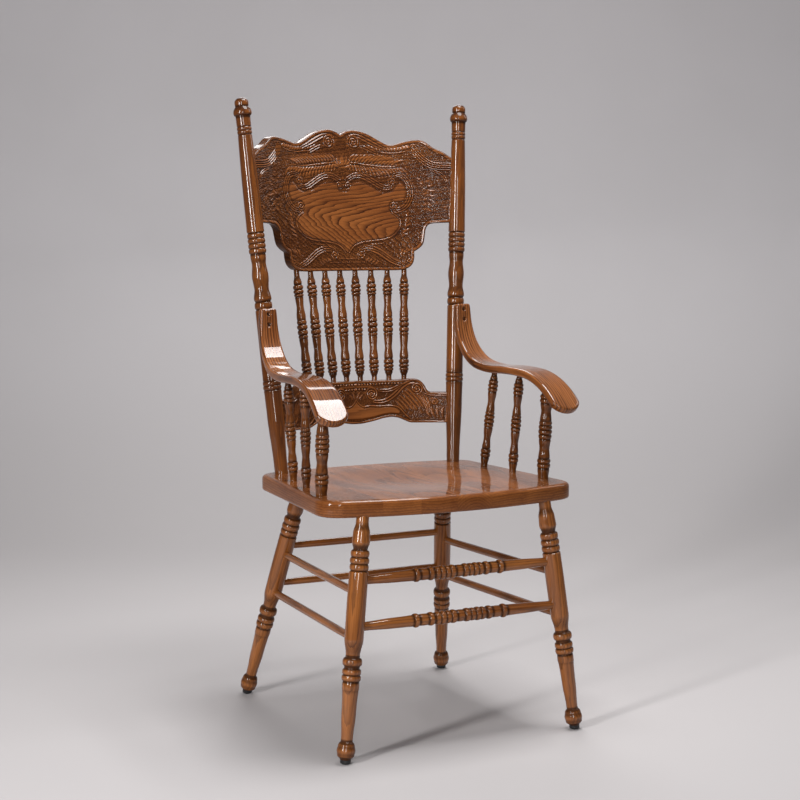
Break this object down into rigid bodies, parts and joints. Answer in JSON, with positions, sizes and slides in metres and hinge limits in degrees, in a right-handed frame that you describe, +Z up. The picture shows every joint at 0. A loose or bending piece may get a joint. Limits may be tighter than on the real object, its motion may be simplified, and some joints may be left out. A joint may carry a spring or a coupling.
{
  "type": "windsor chair",
  "caption": "Press-back oak armchair: dished plank seat, turned legs, posts, stretchers and spindles, bowed carved crest and lower rail, and bent arms.",
  "frame": {"origin": "on the floor under the middle of the chair", "axes": "+X is the right side seen from the front, which is the sitter's left hand; -Y is the front; +Z is up"},
  "size_m": [0.533, 0.5577, 1.1705],
  "materials": {
    "stained_oak": "glossy lacquer over a brown stain",
    "black_glide": "smooth, half gloss",
    "dark_screw": "dark bronzed steel"
  },
  "bodies": {
    "root": {"back_lower_stretcher": "stained_oak", "back_spindle_1": "stained_oak", "back_spindle_2": "stained_oak", "back_spindle_3": "stained_oak", "back_spindle_4": "stained_oak", "back_spindle_5": "stained_oak", "back_spindle_6": "stained_oak", "back_spindle_7": "stained_oak", "back_spindle_8": "stained_oak", "back_upper_stretcher": "stained_oak", "crest_panel": "stained_oak", "front_left_glide": "black_glide", "front_left_leg": "stained_oak", "front_lower_stretcher": "stained_oak", "front_right_glide": "black_glide", "front_right_leg": "stained_oak", "front_upper_stretcher": "stained_oak", "left_arm": "stained_oak", "left_arm_front_spindle": "stained_oak", "left_arm_middle_spindle": "stained_oak", "left_arm_rear_spindle": "stained_oak", "left_arm_screws": "dark_screw", "left_back_post": "stained_oak", "left_lower_stretcher": "stained_oak", "left_upper_stretcher": "stained_oak", "lower_back_rail": "stained_oak", "rear_left_glide": "black_glide", "rear_left_leg": "stained_oak", "rear_right_glide": "black_glide", "rear_right_leg": "stained_oak", "right_arm": "stained_oak", "right_arm_front_spindle": "stained_oak", "right_arm_middle_spindle": "stained_oak", "right_arm_rear_spindle": "stained_oak", "right_arm_screws": "dark_screw", "right_back_post": "stained_oak", "right_lower_stretcher": "stained_oak", "right_upper_stretcher": "stained_oak", "seat": "stained_oak"}
  },
  "joints": []
}
